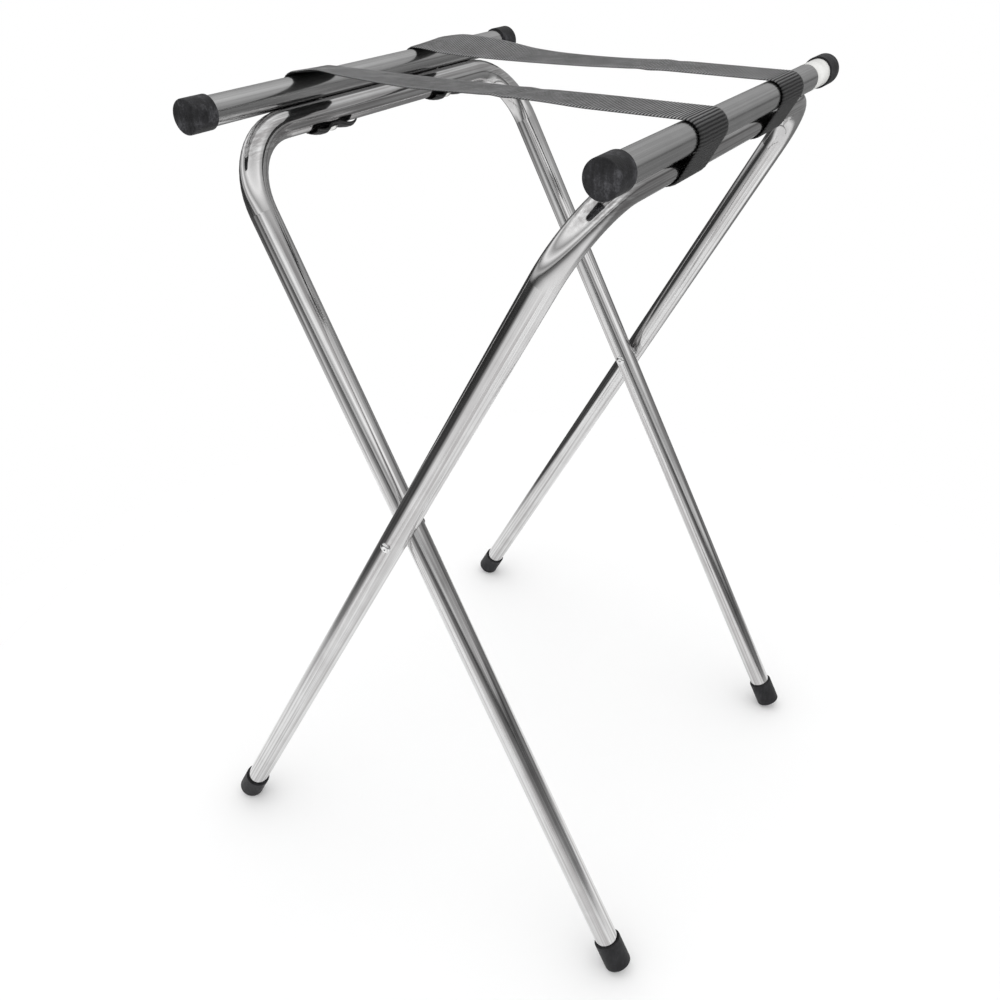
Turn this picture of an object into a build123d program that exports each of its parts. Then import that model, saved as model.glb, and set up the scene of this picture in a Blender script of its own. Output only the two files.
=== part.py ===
from build123d import *
import os
from math import atan2, cos, degrees, hypot, radians, sin, sqrt

# Folding luggage rack: two bent-tube leg frames that cross at two rivets, a top bar on each
# frame's crossbar, and two webbing straps from bar to bar. Millimetres, +Z up.
# X runs from bar to bar, Y along the bars (near end -Y), origin on the floor under the pivot.

# leg frames
tube_radius = 11.1
tube_wall = 1.2
bend_radius = 60.0  # centreline of each upper bend
pivot_height = 435.5
crossbar_height = 731.5
leg_lean = 0.536  # run along X per unit of height
inner_half_width = 198.7  # leg centre from the middle plane, at the pivot
inner_splay = 0.0258  # outward run along Y per unit of height, towards the floor
outer_half_width = 223.7
outer_splay = 0.0616

# top bars, over their caps: low Y end and high Y end
bar_ends = {"left": (-220.0, 213.5), "right": (-210.0, 206.0)}
cap_radius = 12.9
cap_length = 21.0
cap_end_wall = 2.5
cap_edge = 0.9

# foot tips, slipped over the leg ends
tip_radius = 13.1
tip_length = 30.0
tip_base = 5.0
tip_edge = 1.6

# pivot rivets and the spacers between the legs
rivet_radius = 3.0
rivet_head_radius = 4.7
rivet_head_height = 2.0
rivet_dimple_radius = 1.5
rivet_dimple_depth = 0.5
head_clearance = 0.35  # between the inner leg and the head that it turns under
running_clearance = 0.05
spacer_radius = 6.0
spacer_clearance = 0.35  # between the spacer's faces and the tubes

# straps
strap_width = 49.0
strap_thickness = 1.6
strap_clearance = 0.3  # between the webbing and every tube
strap_middle = {"near": (-81.5, -72.0), "far": (82.5, 87.0)}  # Y at the left and at the right bar
tail_angle = 30.0  # how far the tail runs past the screw, round the crossbar

# strap screws
screw_radius = 2.0
screw_tip_radius = 0.6
screw_tip_length = 3.0
screw_head_radius = 4.6
screw_head_height = 2.1
screw_bar_reach = 4.0  # into the top bar

# blank label on the right bar
label_ends = (153.0, 184.5)
label_thickness = 0.15

# directions and centres worked out from the dimensions above
lean_length = hypot(1, leg_lean)  # length in a frame's own plane per unit of height
lean_angle = degrees(atan2(leg_lean, 1))
crossbar_x = leg_lean * (crossbar_height - pivot_height)
bar_x = crossbar_x + 2 * tube_radius * sin(radians(lean_angle))
bar_height = crossbar_height + 2 * tube_radius * cos(radians(lean_angle))
sides = {"left": -1, "right": 1}  # the side a top bar is on
ends = {"near": -1, "far": 1}
frames = {
    "inner": (sides["left"], inner_half_width, inner_splay),
    "outer": (sides["right"], outer_half_width, outer_splay),
}

os.makedirs("parts", exist_ok=True)


def save(part, name):
    part.label = name
    export_step(part, f"parts/{name}.step")


def frame_plane(side, origin):
    """A plane in a leg frame: local x along the bars, local y up the legs."""
    lean = radians(lean_angle)
    return Plane(origin=origin, x_dir=(0, 1, 0), z_dir=(cos(lean), 0, -side * sin(lean)))


def leg_direction(side, end, splay):
    return Vector(side * leg_lean, -end * splay, 1).normalized()


def tip_bottom(side, end, half_width, splay):
    """Middle of a foot tip's flat bottom, placed so that the tip's low edge is on the floor."""
    up = leg_direction(side, end, splay)
    tilt = sqrt(1 - up.Z**2)
    height = (tip_radius - tip_edge) * tilt + tip_edge - tip_edge * up.Z
    pivot = Vector(0, end * half_width, pivot_height)
    return pivot - up * ((pivot_height - height) / up.Z)


def strap_y(strap, side):
    return strap_middle[strap][0 if side < 0 else 1]


# ---- leg frames: one bent tube each, drilled for the rivets and the strap screws ----
for name, (side, half_width, splay) in frames.items():
    leg_end = tip_bottom(side, 1, half_width, splay) + leg_direction(side, 1, splay) * tip_base
    foot_reach = (leg_end.Z - pivot_height) * lean_length
    crossbar_reach = (crossbar_height - pivot_height) * lean_length
    top_half_width = half_width - splay * (crossbar_height - pivot_height)
    with BuildPart() as leg_frame:
        with BuildLine(frame_plane(side, (0, 0, pivot_height))) as route:
            FilletPolyline(
                (-leg_end.Y, foot_reach),
                (-top_half_width, crossbar_reach),
                (top_half_width, crossbar_reach),
                (leg_end.Y, foot_reach),
                radius=bend_radius,
            )
        with BuildSketch(Plane(origin=route.line @ 0, z_dir=route.line % 0)):
            Circle(tube_radius)
            Circle(tube_radius - tube_wall, mode=Mode.SUBTRACT)
        sweep(path=route.line)
        with BuildSketch(Plane.XZ.shift_origin((0, 0, pivot_height))):
            Circle(rivet_radius + running_clearance)
        extrude(amount=outer_half_width + 2 * tube_radius, both=True, mode=Mode.SUBTRACT)
        for strap in strap_middle:
            hole_middle = (side * crossbar_x, strap_y(strap, side), crossbar_height)
            up = frame_plane(side, hole_middle).y_dir
            with BuildSketch(Plane(origin=hole_middle, z_dir=up)):
                Circle(screw_radius + running_clearance)
            extrude(amount=tube_radius + 1, both=True, mode=Mode.SUBTRACT)
    save(leg_frame.part, f"{name}_leg_frame")

# ---- top bars: straight tubes that lie on the crossbars, in line with the legs ----
for bar, side in sides.items():
    low, high = bar_ends[bar][0] + cap_end_wall, bar_ends[bar][1] - cap_end_wall
    with BuildPart() as top_bar:
        with BuildSketch(Plane(origin=(side * bar_x, low, bar_height), z_dir=(0, 1, 0))):
            Circle(tube_radius)
            Circle(tube_radius - tube_wall, mode=Mode.SUBTRACT)
        extrude(amount=high - low)
        for strap in strap_middle:
            bar_middle = (side * bar_x, strap_y(strap, side), bar_height)
            up = frame_plane(side, bar_middle).y_dir
            with BuildSketch(Plane(origin=bar_middle, z_dir=-up)):
                Circle(screw_radius + running_clearance)
            extrude(amount=tube_radius + 1, mode=Mode.SUBTRACT)
    save(top_bar.part, f"top_bar_{bar}")

# ---- bar caps: plastic cups over the bar ends ----
for bar, side in sides.items():
    for end, out in ends.items():
        end_y = bar_ends[bar][0 if out < 0 else 1]
        face = Plane(origin=(side * bar_x, end_y, bar_height), z_dir=(0, -out, 0))
        with BuildPart() as bar_cap:
            with BuildSketch(face):
                Circle(cap_radius)
            extrude(amount=cap_length)
            with BuildSketch(face.offset(cap_end_wall)):
                Circle(tube_radius)
            extrude(amount=cap_length, mode=Mode.SUBTRACT)
            outer_rims = bar_cap.edges().filter_by(GeomType.CIRCLE).group_by(SortBy.RADIUS)[-1]
            fillet(outer_rims.sort_by(Axis.Y)[0 if out < 0 else -1], cap_edge)
        save(bar_cap.part, f"bar_cap_{bar}_{end}")

# ---- foot tips: rubber cups over the leg ends, square to the leg ----
for name, (side, half_width, splay) in frames.items():
    for end, out in ends.items():
        bottom = tip_bottom(side, out, half_width, splay)
        face = Plane(origin=bottom, z_dir=leg_direction(side, out, splay))
        with BuildPart() as foot_tip:
            with BuildSketch(face):
                Circle(tip_radius)
            extrude(amount=tip_length)
            with BuildSketch(face.offset(tip_base)):
                Circle(tube_radius)
            extrude(amount=tip_length, mode=Mode.SUBTRACT)
            outer_rims = foot_tip.edges().filter_by(GeomType.CIRCLE).group_by(SortBy.RADIUS)[-1]
            fillet(outer_rims.sort_by(Axis.Z)[0], tip_edge)
        save(foot_tip.part, f"foot_tip_{name}_{end}")

# ---- pivot rivets: domed, dimpled heads outside the outer leg and inside the inner leg ----
inner_head_face = inner_half_width - tube_radius - head_clearance
outer_head_face = outer_half_width + tube_radius
head_seat = rivet_head_radius**2 / tube_radius  # the outer head reaches this far round the tube
for end, out in ends.items():
    section = Plane(origin=(0, 0, pivot_height), x_dir=(1, 0, 0), z_dir=(0, 0, out))
    pivot_axis = Axis((0, 0, pivot_height), (0, 1, 0))
    with BuildPart() as pivot_rivet:
        with BuildSketch(section):
            with BuildLine():
                for root, crown in ((inner_head_face, -1), (outer_head_face, 1)):
                    dimple_y = root + crown * rivet_head_height
                    rim_y = root + crown * rivet_head_height / 3
                    Line((0, dimple_y - crown * rivet_dimple_depth), (rivet_dimple_radius, dimple_y))
                    ThreePointArc(
                        (rivet_dimple_radius, dimple_y),
                        (0.75 * rivet_head_radius, root + crown * 0.8 * rivet_head_height),
                        (rivet_head_radius, rim_y),
                    )
                Polyline(
                    (rivet_head_radius, inner_head_face - rivet_head_height / 3),
                    (rivet_head_radius, inner_head_face),
                    (rivet_radius, inner_head_face),
                    (rivet_radius, outer_head_face - head_seat),
                    (rivet_head_radius, outer_head_face - head_seat),
                    (rivet_head_radius, outer_head_face + rivet_head_height / 3),
                )
                Line(
                    (0, inner_head_face - rivet_head_height + rivet_dimple_depth),
                    (0, outer_head_face + rivet_head_height - rivet_dimple_depth),
                )
            make_face()
        revolve(axis=pivot_axis)
        # the outer head is seated round its tube, and the shank stays whole
        leg_up = leg_direction(sides["right"], out, outer_splay)
        seat_middle = Vector(0, out * outer_half_width, pivot_height)
        with BuildSketch(Plane(origin=seat_middle - leg_up * tip_length / 2, z_dir=leg_up)):
            Circle(tube_radius)
        seat = extrude(amount=tip_length, mode=Mode.PRIVATE)
        shank_plane = Plane(origin=(0, 0, pivot_height), z_dir=(0, out, 0))
        with BuildSketch(shank_plane.offset(inner_half_width), mode=Mode.PRIVATE) as shank_section:
            Circle(rivet_radius)
        shank_length = outer_head_face - inner_half_width
        shank = extrude(shank_section.sketch, amount=shank_length, mode=Mode.PRIVATE)
        add(seat, mode=Mode.SUBTRACT)
        add(shank)
    save(pivot_rivet.part, f"pivot_rivet_{end}")

# ---- pivot spacers: washers on the rivets between the two legs ----
spacer_start = inner_half_width + tube_radius + spacer_clearance
spacer_end = outer_half_width - tube_radius - spacer_clearance
for end, out in ends.items():
    with BuildPart() as pivot_spacer:
        with BuildSketch(Plane(origin=(0, out * spacer_start, pivot_height), z_dir=(0, out, 0))):
            Circle(spacer_radius)
            Circle(rivet_radius + running_clearance, mode=Mode.SUBTRACT)
        extrude(amount=spacer_end - spacer_start)
    save(pivot_spacer.part, f"pivot_spacer_{end}")

# ---- straps: over each bar, down its outer side, and round under the crossbar ----
webbing_inside = tube_radius + strap_clearance
webbing_outside = webbing_inside + strap_thickness
for strap, (left_y, right_y) in strap_middle.items():
    with BuildPart() as webbing:
        with BuildSketch(Plane.XZ):
            with BuildLine():
                for radius in (webbing_inside, webbing_outside):
                    Line((-bar_x, bar_height + radius), (bar_x, bar_height + radius))
                    for side in sides.values():
                        # arc angles on the right side, turned over for the left one
                        over_bar = (-lean_angle, 90 + lean_angle)
                        under_crossbar = (-lean_angle - 90 - tail_angle, 90 + tail_angle)
                        for middle, (start, size) in (
                            ((side * bar_x, bar_height), over_bar),
                            ((side * crossbar_x, crossbar_height), under_crossbar),
                        ):
                            CenterArc(middle, radius, start if side > 0 else 180 - start - size, size)
                        outward = Vector(side * radius, 0).rotate(Axis.Z, -side * lean_angle)
                        Line(
                            Vector(side * bar_x, bar_height) + outward,
                            Vector(side * crossbar_x, crossbar_height) + outward,
                        )
                for side in sides.values():
                    tail = Vector(side, 0).rotate(Axis.Z, -side * (lean_angle + 90 + tail_angle))
                    tail_middle = Vector(side * crossbar_x, crossbar_height)
                    Line(tail_middle + tail * webbing_inside, tail_middle + tail * webbing_outside)
            make_face()
        extrude(amount=2 * abs(left_y), both=True)
        # trimmed to the strap's own, slightly slanting, course between the bars
        slant = (right_y - left_y) / 2 / bar_x
        reach = bar_x + 2 * tube_radius
        middle_y = (left_y + right_y) / 2
        with BuildSketch(Plane.XY.offset(crossbar_height - 2 * tube_radius)):
            with BuildLine():
                Polyline(
                    (-reach, middle_y - slant * reach - strap_width / 2),
                    (reach, middle_y + slant * reach - strap_width / 2),
                    (reach, middle_y + slant * reach + strap_width / 2),
                    (-reach, middle_y - slant * reach + strap_width / 2),
                    close=True,
                )
            make_face()
        extrude(amount=6 * tube_radius, mode=Mode.INTERSECT)
        for side in sides.values():
            hole_middle = (side * crossbar_x, strap_y(strap, side), crossbar_height)
            with BuildSketch(Plane(origin=hole_middle, z_dir=-frame_plane(side, hole_middle).y_dir)):
                Circle(screw_radius + strap_clearance)
            extrude(amount=2 * tube_radius, mode=Mode.SUBTRACT)
    save(webbing.part, f"strap_{strap}")

# ---- strap screws: from under the strap's tail, through the crossbar, into the top bar ----
head_face = -webbing_outside  # under the crossbar's middle
screw_end = tube_radius + screw_bar_reach
crown_radius = (screw_head_radius**2 + screw_head_height**2) / 2 / screw_head_height
crown_middle = head_face - screw_head_height + crown_radius
half_head = screw_head_radius / 2
for bar, side in sides.items():
    for strap in strap_middle:
        middle = (side * crossbar_x, strap_y(strap, side), crossbar_height)
        with BuildPart() as strap_screw:
            with BuildSketch(frame_plane(side, middle)):
                with BuildLine():
                    Polyline(
                        (0, head_face - screw_head_height),
                        (0, screw_end),
                        (screw_tip_radius, screw_end),
                        (screw_radius, screw_end - screw_tip_length),
                        (screw_radius, head_face),
                        (screw_head_radius, head_face),
                    )
                    ThreePointArc(
                        (screw_head_radius, head_face),
                        (half_head, crown_middle - sqrt(crown_radius**2 - half_head**2)),
                        (0, head_face - screw_head_height),
                    )
                make_face()
            revolve(axis=Axis(middle, frame_plane(side, middle).y_dir))
        save(strap_screw.part, f"strap_screw_{bar}_{strap}")

# ---- blank label: a thin paper band round the right bar, beside its far cap ----
with BuildPart() as bar_label:
    with BuildSketch(Plane(origin=(bar_x, label_ends[0], bar_height), z_dir=(0, 1, 0))):
        Circle(tube_radius + label_thickness)
        Circle(tube_radius, mode=Mode.SUBTRACT)
    extrude(amount=label_ends[1] - label_ends[0])
save(bar_label.part, "bar_label")
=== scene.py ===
import math

import bpy
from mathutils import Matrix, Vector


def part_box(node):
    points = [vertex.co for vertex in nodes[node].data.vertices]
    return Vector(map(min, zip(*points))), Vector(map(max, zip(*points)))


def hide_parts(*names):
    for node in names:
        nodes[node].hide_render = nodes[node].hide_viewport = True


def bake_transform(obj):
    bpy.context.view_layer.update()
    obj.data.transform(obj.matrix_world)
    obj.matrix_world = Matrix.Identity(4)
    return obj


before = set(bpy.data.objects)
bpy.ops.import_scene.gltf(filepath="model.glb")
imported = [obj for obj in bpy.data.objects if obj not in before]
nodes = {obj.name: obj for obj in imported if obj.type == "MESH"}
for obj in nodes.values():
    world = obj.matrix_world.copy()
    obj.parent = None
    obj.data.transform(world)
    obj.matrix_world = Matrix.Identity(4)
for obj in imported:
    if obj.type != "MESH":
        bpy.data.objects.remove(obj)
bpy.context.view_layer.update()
scene = bpy.context.scene
bpy.ops.object.select_all(action="DESELECT")
print("frame loaded")


camera = {
    "place": (0.4252, -0.7059, 0.9010),
    "turn": (56.27, 0.51, 33.14),  # degrees
    "lens": 34.1,
    "sensor": 36.0,
    "clip": (0.01, 30.0),
}


def makeCamera():
    data = bpy.data.cameras.new("camera")
    data.lens = camera["lens"]
    data.sensor_width = camera["sensor"]
    data.clip_start, data.clip_end = camera["clip"]
    viewer = bpy.data.objects.new("camera", data)
    viewer.location = camera["place"]
    viewer.rotation_euler = [math.radians(angle) for angle in camera["turn"]]
    scene.collection.objects.link(viewer)
    scene.camera = viewer


makeCamera()
print("camera made")


# a wire wraps a socket: sums on wires add Math nodes, and any other node comes from Tree.node

class Wire:
    def __init__(self, tree, socket):
        self.tree = tree
        self.socket = socket

    def apply(self, operation, *others):
        return self.tree.node("ShaderNodeMath", {"operation": operation}, [self, *others]).out()

    def applyAfter(self, operation, other):
        return self.tree.node("ShaderNodeMath", {"operation": operation}, [other, self]).out()

    def __add__(self, other):
        return self.apply("ADD", other)

    def __sub__(self, other):
        return self.apply("SUBTRACT", other)

    def __rsub__(self, other):
        return self.applyAfter("SUBTRACT", other)

    def __mul__(self, other):
        return self.apply("MULTIPLY", other)

    def __truediv__(self, other):
        return self.apply("DIVIDE", other)

    def __rtruediv__(self, other):
        return self.applyAfter("DIVIDE", other)

    __radd__ = __add__
    __rmul__ = __mul__


class Node:
    def __init__(self, tree, made):
        self.tree = tree
        self.made = made

    def out(self, name=0):
        return Wire(self.tree, self.made.outputs[name])


class Tree:
    def __init__(self, nodeTree):
        self.nodeTree = nodeTree
        nodeTree.nodes.clear()

    def node(self, kind, settings=None, inputs=None):
        made = self.nodeTree.nodes.new(kind)
        for name, value in (settings or {}).items():
            if name == "stops":
                self.setStops(made.color_ramp, value)
            else:
                setattr(made, name, value)
        pairs = inputs.items() if isinstance(inputs, dict) else enumerate(inputs or [])
        for name, value in pairs:
            self.setInput(made, name, value)
        return Node(self, made)

    def setInput(self, made, name, value):
        if isinstance(value, Wire):
            self.nodeTree.links.new(value.socket, made.inputs[name])
        else:
            made.inputs[name].default_value = value

    def setStops(self, colourRamp, stops):
        while len(colourRamp.elements) < len(stops):
            colourRamp.elements.new(1.0)
        for element, (position, colour) in zip(colourRamp.elements, stops):
            element.position = position
            element.color = (*colour, 1.0)


def newMaterial(name):
    material = bpy.data.materials.new(name)
    material.use_nodes = True
    tree = Tree(material.node_tree)
    shader = tree.node("ShaderNodeBsdfPrincipled")
    tree.node("ShaderNodeOutputMaterial", None, {"Surface": shader.out("BSDF")})
    return material, tree, shader.made


def feed(tree, shader, **values):
    for name, value in values.items():
        tree.setInput(shader, name.replace("_", " "), value)


def place(tree, scale=(1, 1, 1), turn=(0, 0, 0), spot=None):
    spot = spot or tree.node("ShaderNodeTexCoord").out("Object")
    settings = {"vector_type": "TEXTURE"}  # so that scale stretches and turn aims the pattern
    inputs = {"Vector": spot, "Scale": scale, "Rotation": turn}
    return tree.node("ShaderNodeMapping", settings, inputs).out()


def split(tree, vector):
    parts = tree.node("ShaderNodeSeparateXYZ", None, [vector])
    return [parts.out(axis) for axis in "XYZ"]


# object coordinates with the far side of the rack laid over the near one
def mirrored(tree):
    x, y, z = split(tree, tree.node("ShaderNodeTexCoord").out("Object"))
    return tree.node("ShaderNodeCombineXYZ", None, [x, y.apply("ABSOLUTE"), z]).out()


def noise(tree, where, scale, detail=3.0, roughness=0.5):
    inputs = {"Vector": where, "Scale": scale, "Detail": detail, "Roughness": roughness}
    return tree.node("ShaderNodeTexNoise", None, inputs).out()


def ramp(tree, wire, stops):
    return tree.node("ShaderNodeValToRGB", {"stops": stops}, [wire]).out()


def greys(*stops):
    return [(position, (level, level, level)) for position, level in stops]


def mixed(tree, factor, first, second):
    inputs = {0: factor, 6: first, 7: second}  # a Mix node's sockets for colours
    return tree.node("ShaderNodeMix", {"data_type": "RGBA"}, inputs).out(2)


def clamped(wire):
    return wire.apply("MINIMUM", 1.0).apply("MAXIMUM", 0.0)


def bump(tree, height, distance, strength=1.0):
    inputs = {"Strength": strength, "Distance": distance, "Height": height}
    return tree.node("ShaderNodeBump", None, inputs).out()


# chrome plate: lengthwise polishing lines, a faint waviness, smudges and fine scuffs

chrome = {
    "lines": 480.0,
    "lineLength": 200.0,  # how many times longer than wide
    "smears": 30.0,
    "specks": 900.0,
    "waves": 16.0,
    "waveHeight": 0.00012,
    "legTo": 0.690,  # heights where the leg frames' bends begin and end
    "crossbarFrom": 0.712,
}


def barLines(tree):
    return noise(tree, place(tree, (1, chrome["lineLength"], 1)), chrome["lines"], 3.0, 0.6)


# lines along the legs and along the crossbar, with none in the bend between them
def frameLines(tree, aim):
    spread, lean = (math.radians(angle) for angle in aim)
    drawn = place(tree, (1, 1, chrome["lineLength"]), (spread, lean, 0), mirrored(tree))
    legLines = noise(tree, drawn, chrome["lines"], 3.0, 0.6)
    height = split(tree, place(tree))[2]
    onLeg = clamped((chrome["legTo"] - height) * 30)
    onCrossbar = clamped((height - chrome["crossbarFrom"]) * 60)
    return (legLines - 0.5) * onLeg + (barLines(tree) - 0.5) * onCrossbar + 0.5


# aim: how far the legs spread and lean, in degrees; a bar has none
def chromeMaterial(name, dark, pale, smudge, aim=None):
    material, tree, shader = newMaterial(name)
    line = frameLines(tree, aim) if aim else barLines(tree)
    spot = place(tree)
    smear = noise(tree, spot, chrome["smears"], 4.0, 0.6)
    speck = noise(tree, spot, chrome["specks"], 2.0, 0.5)
    wave = noise(tree, spot, chrome["waves"], 1.0, 0.4)
    middle = [(low + high) / 2 for low, high in zip(dark, pale)]
    tint = ramp(tree, line * 0.85 + smear * 0.15, [(0.41, dark), (0.50, middle), (0.58, pale)])
    rough = smear * smudge + line * 0.05 + speck * 0.03 + 0.02
    relief = bump(tree, wave, chrome["waveHeight"])
    feed(tree, shader, Metallic=1.0, Base_Color=tint, Roughness=rough, Normal=relief)
    return material


# dull black rubber and plastic: mottled, with rubbed pale patches

black = {
    "patches": 70.0,
    "scratches": 380.0,
    "scratchLength": 9,
    "height": 0.0004,
    "specular": 0.25,
}


def blackMaterial(name, colour, scuff, roughness, grain):
    material, tree, shader = newMaterial(name)
    spot = place(tree)
    patch = noise(tree, spot, black["patches"], 6.0, 0.65)
    fine = noise(tree, spot, grain, 2.0, 0.6)
    scratch = noise(tree, place(tree, (1, 1, black["scratchLength"])), black["scratches"], 2.0, 0.5)
    worn = patch * 0.6 + fine * 0.2 + scratch * 0.2
    middle = [level * 2.2 for level in colour]
    tint = ramp(tree, worn, [(0.42, colour), (0.52, middle), (0.66, scuff)])
    rough = patch * 0.25 + fine * 0.12 + (roughness - 0.18)
    relief = bump(tree, fine * 0.6 + patch * 0.4, black["height"])
    feed(tree, shader, Base_Color=tint, Roughness=rough, Normal=relief)
    feed(tree, shader, Specular_IOR_Level=black["specular"])
    return material


# a blank paper label: blotched, fibrous and slightly glossy

label = {
    "blotches": 60.0,
    "fibres": 1500.0,
    "height": 0.00005,
    "coat": 0.4,
}


def labelMaterial():
    material, tree, shader = newMaterial("label_paper")
    blotch = noise(tree, place(tree), label["blotches"], 4.0)
    fibre = noise(tree, place(tree, (1, 4, 1)), label["fibres"], 2.0)
    tint = ramp(tree, blotch, [(0.3, (0.70, 0.70, 0.68)), (0.7, (0.86, 0.86, 0.84))])
    relief = bump(tree, fibre, label["height"])
    feed(tree, shader, Base_Color=tint, Roughness=blotch * 0.2 + 0.35, Normal=relief)
    feed(tree, shader, Coat_Weight=label["coat"])
    return material


legTones = ((0.45, 0.44, 0.44), (0.72, 0.72, 0.72))
barTones = ((0.48, 0.48, 0.48), (0.58, 0.58, 0.58))
rivetTones = ((0.62, 0.62, 0.62), (0.86, 0.86, 0.86))
screwTones = ((0.60, 0.60, 0.58), (0.85, 0.85, 0.83))
capTones = ((0.009, 0.009, 0.010), (0.075, 0.075, 0.082))
tipTones = ((0.007, 0.007, 0.008), (0.035, 0.035, 0.037))

# by the word that the nodes' names hold
finishes = {
    "outer_leg_frame": chromeMaterial("chrome_outer", *legTones, 0.08, (3.1, 28.19)),
    "inner_leg_frame": chromeMaterial("chrome_inner", *legTones, 0.08, (1.3, -28.19)),
    "top_bar": chromeMaterial("chrome_bars", *barTones, 0.26),
    "bar_cap": blackMaterial("cap_plastic", *capTones, 0.5, 700.0),
    "foot_tip": blackMaterial("tip_rubber", *tipTones, 0.55, 1100.0),
    "pivot": chromeMaterial("rivet_steel", *rivetTones, 0.20, (0, 0)),
    "strap_screw": chromeMaterial("screw_zinc", *screwTones, 0.25, (0, 0)),
    "label": labelMaterial(),
}
for name, node in nodes.items():
    for word, material in finishes.items():
        if word in name:
            for slot in node.material_slots:
                slot.material = material
print("materials made")


# webbing: black, with crosswise ribs, and warp yarns that swap over from rib to rib

webbing = {
    "width": 0.049,
    "thickness": 0.0016,
    "gap": 0.0003,  # from the tube
    "tail": 30.0,  # degrees past the screw
    "step": 0.0005,
    "columns": 24,
    "rib": 0.0025,
    "ribHeight": 0.00022,
    "yarn": 0.0011,
    "rim": 0.85,  # where the thinner edge begins, as a share of half the width
    "rimThinner": 0.65,
    "loop": 0.0008,  # how far the edge loops stand out
    "paintedLitTo": 0.18,  # how far from the middle the upper face is painted lighter, a painted sheen where the overhead light falls on the top
    "driftFrom": 0.07,  # where a strap begins to wander sideways, and over what length
    "driftOver": 0.2,
    "creaseWidth": 0.006,
    "lobe": 0.0045,  # how far the tail hangs away beside its screw
    "lobeBefore": 0.012,  # where it begins, measured from the screw, and over what length
    "lobeOver": 0.016,
    "lobeAside": 0.22,  # and how far off the middle
}

# how far each edge stands above the straight course, by distance along
nearSlack = {
    "near": [(-0.185, 0), (-0.165, 0.0025), (-0.145, 0.0055), (-0.120, 0.0035), (-0.090, 0.0018),
             (-0.055, 0.0003), (-0.02, 0.0008), (0.02, 0.0016), (0.06, 0.0012), (0.10, 0)],
    "far": [(-0.16, 0), (-0.10, -0.0006), (0.0, -0.0008), (0.10, 0)],
    "creases": [(0.022, 0.0003), (0.032, -0.0004)],
    "drift": 0.0,
}
farSlack = {
    "near": [(-0.165, 0), (-0.135, -0.0025), (-0.08, -0.0035), (0.0, -0.0025), (0.05, -0.0008), (0.09, 0)],
    "far": [(-0.185, 0), (-0.165, 0.0040), (-0.145, 0.0068), (-0.120, 0.0060), (-0.095, 0.0038),
            (-0.065, 0.0), (-0.03, -0.0018), (0.02, -0.0018), (0.08, 0)],
    "creases": [(0.060, 0.0003), (0.071, -0.0004)],
    "drift": -0.0035,
}


def webbingMaterial():
    material, tree, shader = newMaterial("webbing_black")
    across, along, _ = split(tree, tree.node("ShaderNodeUVMap", {"uv_map": "chart"}).out())
    spot = place(tree)
    wander = noise(tree, spot, 120.0, 2.0) * 0.25
    ribs = along / webbing["rib"] + wander
    odd = ribs.apply("FLOOR").apply("MODULO", 2.0) * 0.5
    ribHeight = (ribs * math.pi).apply("SINE").apply("ABSOLUTE")
    yarns = (across / webbing["yarn"] + odd) * math.pi
    yarnHeight = yarns.apply("SINE").apply("ABSOLUTE")
    fibre = noise(tree, spot, 3200.0, 2.0, 0.6)
    height = ribHeight * 0.55 + ribHeight * yarnHeight * 0.6 + fibre * 0.18
    patch = noise(tree, spot, 45.0, 3.0, 0.6)
    # the ramps' input: rib and yarn height, which paints shade in the grooves and light on the crests, plus
    # random patches of real tone
    ribLightAndPatchTone = height * 0.85 + patch * 0.25
    # painted light: the upper face between the bars gets a lighter tint, a painted sheen of the overhead
    # light at a grazing view
    between = clamped((webbing["paintedLitTo"] - along.apply("ABSOLUTE")) * 60)
    upper = clamped((0.5 - across) * 40)
    # every face but the lit top: near black, darkest in the rib grooves as painted shade and lighter on the
    # crests as painted glints
    otherFacesTint = ramp(tree, ribLightAndPatchTone, [
        (0.35, (0.001, 0.001, 0.0015)),
        (0.80, (0.010, 0.0105, 0.011)),
        (1.00, (0.05, 0.05, 0.05)),
    ])
    # the lit top's tint: painted sheen, reaching light grey on the rib crests as painted glints
    paintedLitTop = ramp(tree, ribLightAndPatchTone, [
        (0.30, (0.004, 0.004, 0.004)),
        (0.58, (0.050, 0.050, 0.051)),
        (0.92, (0.44, 0.44, 0.445)),
    ])
    tint = mixed(tree, between * upper, otherFacesTint, paintedLitTop)
    rough = patch * 0.2 + fibre * 0.1 + 0.30
    feed(tree, shader, Base_Color=tint, Roughness=rough, Normal=bump(tree, height, 0.0009, 0.9))
    feed(tree, shader, Specular_IOR_Level=0.30, Sheen_Weight=0.03, Sheen_Roughness=0.4)
    return material


# the tubes that a strap goes round, read from the frame
barLow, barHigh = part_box("top_bar_right")
_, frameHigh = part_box("outer_leg_frame")
tube = (barHigh[2] - barLow[2]) / 2  # radius
barX = (barLow[0] + barHigh[0]) / 2
barZ = (barLow[2] + barHigh[2]) / 2
crossX = frameHigh[0] - tube
crossZ = frameHigh[2] - tube

# and the strap's course round them, from the middle to its tail
bend = tube + webbing["gap"] + webbing["thickness"] / 2  # of the webbing's middle layer
slope = math.atan2(barX - crossX, barZ - crossZ)
drop = math.hypot(barX - crossX, barZ - crossZ)
overBar = bend * (math.pi / 2 + slope)
toScrew = barX + overBar + drop + bend * math.pi / 2
halfLength = toScrew + bend * math.radians(webbing["tail"])


def limited(value, low=0.0, high=1.0):
    return max(low, min(high, value))


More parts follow.
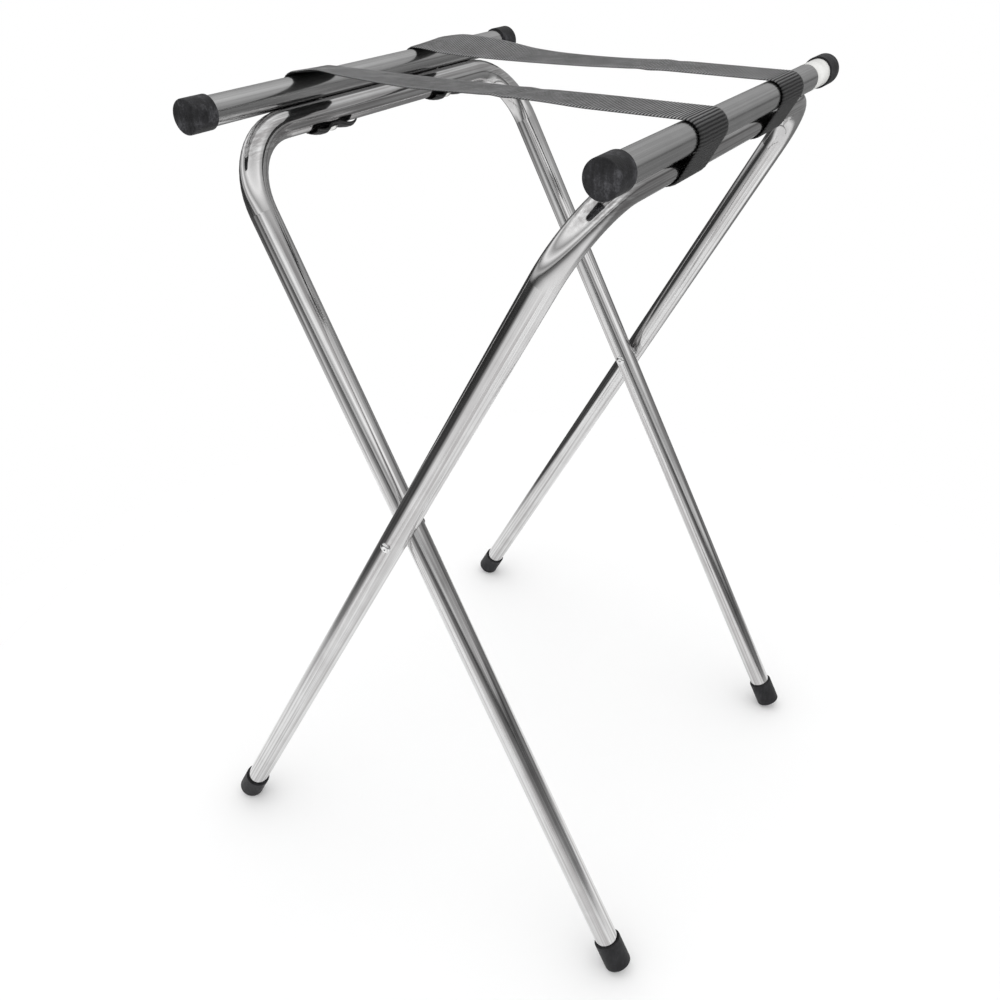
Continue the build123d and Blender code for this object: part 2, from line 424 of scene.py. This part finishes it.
# the course at a distance along from the middle: x, z and the outward angle
def courseAt(along):
    side, left = (1 if along > 0 else -1), abs(along)
    if left < barX:
        return side * left, barZ + bend, math.pi / 2
    left -= barX
    if left < overBar:
        x, z, turn = barX, barZ, math.pi / 2 - left / bend
    elif left < overBar + drop:
        share = (left - overBar) / drop
        x, z, turn = barX + (crossX - barX) * share, barZ + (crossZ - barZ) * share, -slope
    else:
        x, z, turn = crossX, crossZ, -slope - (left - overBar - drop) / bend
    x, z = x + bend * math.cos(turn), z + bend * math.sin(turn)
    return side * x, z, turn if side > 0 else math.pi - turn


# a smooth curve through a few (place, value) pairs
def eased(points, at):
    if at <= points[0][0]:
        return points[0][1]
    slopes = [0.0] + [(c[1] - a[1]) / (c[0] - a[0]) for a, c in zip(points, points[2:])] + [0.0]
    for (a, low), (b, high), rise, fall in zip(points, points[1:], slopes, slopes[1:]):
        if at <= b:
            size, share = b - a, (at - a) / (b - a)
            rest = 1 - share
            ends = low * rest * rest * (1 + 2 * share) + high * share * share * (1 + 2 * rest)
            return ends + size * share * rest * (rise * rest - fall * share)
    return points[-1][1]


def slackAt(slack, along, across):
    nearShare, farShare = ((1 - across) / 2) ** 1.4, ((1 + across) / 2) ** 1.4
    lift = eased(slack["near"], along) * nearShare + eased(slack["far"], along) * farShare
    for middle, height in slack["creases"]:
        lift += height * math.exp(-((along - middle - across * 0.004) / webbing["creaseWidth"]) ** 2)
    return lift


def lobeAt(along, across):
    grown = limited((abs(along) - toScrew + webbing["lobeBefore"]) / webbing["lobeOver"])
    aside = max(0.0, abs(across) - webbing["lobeAside"]) / (1 - webbing["lobeAside"])
    return webbing["lobe"] * grown * grown * math.sin(math.pi * min(1.0, aside * 0.85))


# how far a strap has wandered sideways, which it only does between the bars
def driftAt(slack, along):
    onTop = max(0.0, 1 - max(0.0, abs(along) - barX) / (overBar + drop))
    return slack["drift"] * onTop * limited((webbing["driftFrom"] - along) / webbing["driftOver"])


# rings of points round the webbing's section, one for each step along it, and a cap at each end
def makeStrap(name, slack, leftY, rightY):
    rows, columns = round(2 * halfLength / webbing["step"]), webbing["columns"]
    half, thick = webbing["width"] / 2, webbing["thickness"] / 2
    ring = [(2 * k / columns - 1, 1) for k in range(columns + 1)]
    ring += [(across, -1) for across, _ in reversed(ring)]
    points, chart = [], []
    for row in range(rows + 1):
        along = 2 * halfLength * row / rows - halfLength
        x, z, turn = courseAt(along)
        straight = (leftY + rightY) / 2 + (rightY - leftY) / 2 * limited(along / barX, -1.0)
        middle = straight + driftAt(slack, along)
        wave = abs(math.sin(math.pi * along / webbing["rib"]))
        rib = webbing["ribHeight"] * (wave * 2 - 1)
        for across, face in ring:
            edge = max(0.0, abs(across) - webbing["rim"]) / (1 - webbing["rim"])
            layer = face * (thick * (1 - webbing["rimThinner"] * edge * edge) + rib * (1 - edge))
            proud = slackAt(slack, along, across) + lobeAt(along, across) + layer
            out = webbing["loop"] * edge * wave * (1 if across > 0 else -1)
            y = middle + across * (half - webbing["loop"]) + out
            points.append((x + proud * math.cos(turn), y, z + proud * math.sin(turn)))
            underside = 0 if face > 0 else 1  # its chart lies 1 further over
            chart.append((across * half + underside, along))
    size, faces = len(ring), []
    for row in range(rows):
        for k in range(size):
            a, b = row * size + k, row * size + (k + 1) % size
            faces.append((a, b, b + size, a + size))
    last = rows * size
    for k in range(columns):
        below = size - 1 - k
        faces.append((k, below, below - 1, k + 1))
        faces.append((last + k + 1, last + below - 1, last + below, last + k))
    mesh = bpy.data.meshes.new(name)
    mesh.from_pydata(points, [], faces)
    uvMap = mesh.uv_layers.new(name="chart")
    for loop in mesh.loops:
        uvMap.data[loop.index].uv = chart[loop.vertex_index]
    mesh.polygons.foreach_set("use_smooth", [True] * len(faces))
    mesh.materials.append(webbingBlack)
    strap = bpy.data.objects.new(name, mesh)
    scene.collection.objects.link(strap)
    return strap


def screwY(bar, strap):
    low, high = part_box("strap_screw_" + bar + "_" + strap)
    return (low[1] + high[1]) / 2


webbingBlack = webbingMaterial()
for strap, slack in (("near", nearSlack), ("far", farSlack)):
    made = makeStrap("webbing_" + strap, slack, screwY("left", strap), screwY("right", strap))
    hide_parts("strap_" + strap)
    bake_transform(made)
    2 * halfLength
    print("strap", strap, "made,", len(made.data.polygons), "faces")


# the studio: a round pale floor, and a soft surround that only the metal sees in bands

studio = {
    "floor": 0.85,
    "fadeFrom": 0.50,  # the paper fades out from here, so that it has no edge
    "paper": 0.93,
    "light": 1.15,
    "bands": 1.3,
}


def floorMaterial():
    material, tree, shader = newMaterial("floor_paper")
    cloud = noise(tree, place(tree), 2.0, 2.0)
    tint = ramp(tree, cloud, greys((0.3, studio["paper"] - 0.02), (0.7, studio["paper"])))
    reach = tree.node("ShaderNodeVectorMath", {"operation": "LENGTH"}, [place(tree)]).out("Value")
    left = (studio["floor"] - reach) / (studio["floor"] - studio["fadeFrom"])
    feed(tree, shader, Base_Color=tint, Alpha=clamped(left), Roughness=0.9)
    return material


def makeFloor():
    bpy.ops.mesh.primitive_circle_add(vertices=96, radius=studio["floor"], fill_type="NGON")
    floor = bpy.context.object
    floor.name = "floor"
    floor.data.materials.append(floorMaterial())


def background(tree, colour, strength):
    return tree.node("ShaderNodeBackground", None, {"Color": colour, "Strength": strength}).out()


def makeSurround():
    world = bpy.data.worlds.new("surround")
    world.use_nodes = True
    scene.world = world
    tree = Tree(world.node_tree)
    side, depth, height = split(tree, tree.node("ShaderNodeTexCoord").out("Generated"))
    upwards = height * 0.5 + 0.5
    bands = ramp(tree, upwards, greys(
        (0.00, 0.85), (0.20, 0.85), (0.30, 0.75), (0.38, 0.50), (0.43, 0.22), (0.485, 0.12), (0.500, 0.015),
        (0.515, 0.15), (0.540, 0.60), (0.590, 0.28), (0.66, 1.00), (0.75, 0.38), (0.86, 1.00), (1.00, 0.60)))
    calm = ramp(tree, upwards, greys(
        (0.00, 0.26), (0.30, 0.16), (0.46, 0.22), (0.50, 0.10), (0.54, 0.28), (0.75, 0.36), (0.90, 0.62)))
    bands = mixed(tree, clamped((depth - 0.25) * 3), bands, calm)
    # a dark flag low on the -X side draws the black line along each leg
    flag = clamped((side + 0.5) * -4) * clamped((height + 0.62) * 4) * clamped((0.1 - height) * 6)
    bands = mixed(tree, flag * 0.92, bands, (0.02, 0.02, 0.02, 1))
    white = (1, 1, 1, 1)
    rays = tree.node("ShaderNodeLightPath")
    soft = background(tree, white, studio["light"])
    banded = background(tree, bands, studio["bands"])
    plain = background(tree, white, 1.0)
    lit = tree.node("ShaderNodeMixShader", None, [rays.out("Is Glossy Ray"), soft, banded]).out()
    seen = tree.node("ShaderNodeMixShader", None, [rays.out("Is Camera Ray"), lit, plain]).out()
    tree.node("ShaderNodeOutputWorld", None, {"Surface": seen})


makeFloor()
makeSurround()
scene.view_settings.view_transform = "Standard"
print("studio made")
